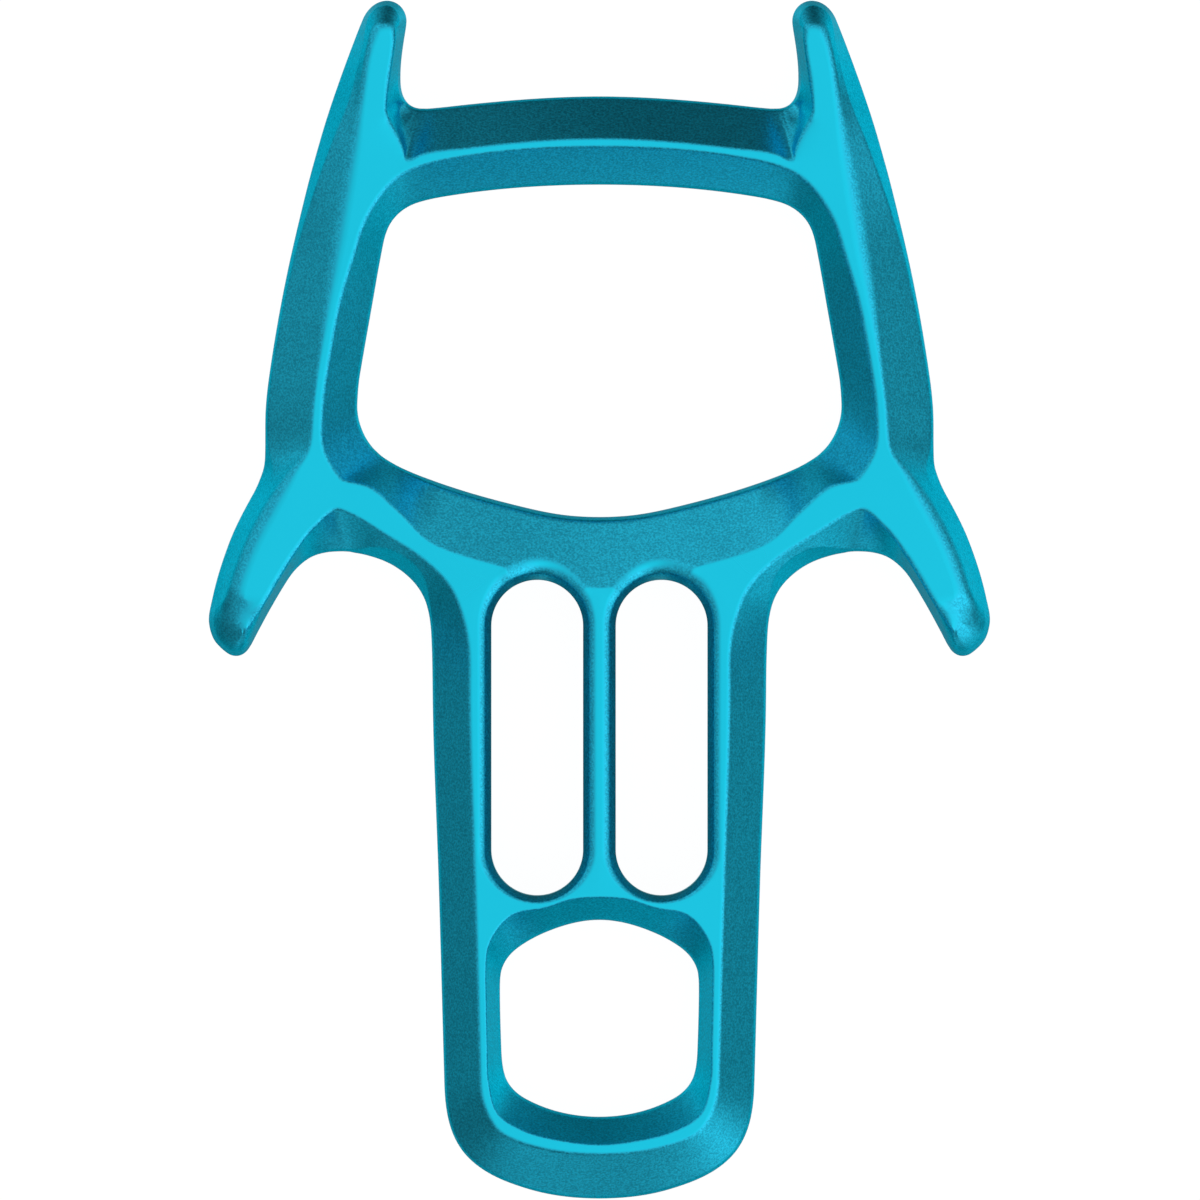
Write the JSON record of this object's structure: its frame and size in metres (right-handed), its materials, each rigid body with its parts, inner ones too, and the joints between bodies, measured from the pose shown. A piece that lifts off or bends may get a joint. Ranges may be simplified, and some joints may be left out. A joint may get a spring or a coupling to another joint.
{
  "type": "figure eight descender",
  "caption": "Forged aluminium rope descender body: rope window between horned arms, parallel rope slots in the stem and a carabiner eye at the foot.",
  "frame": {"origin": "centre of the plan's bounding box, on the plane of the back crest that the part rests on", "axes": "+Y along the body from the carabiner eye towards the upper horns, +X across it, +Z through its thickness out of the front crest"},
  "size_m": [0.1014, 0.1558, 0.014],
  "materials": {
    "anodised_aluminium": "fine blasted, satin, teal blue anodising over hot-forged aluminium"
  },
  "bodies": {
    "root": {"forged_body": "anodised_aluminium"}
  },
  "joints": []
}
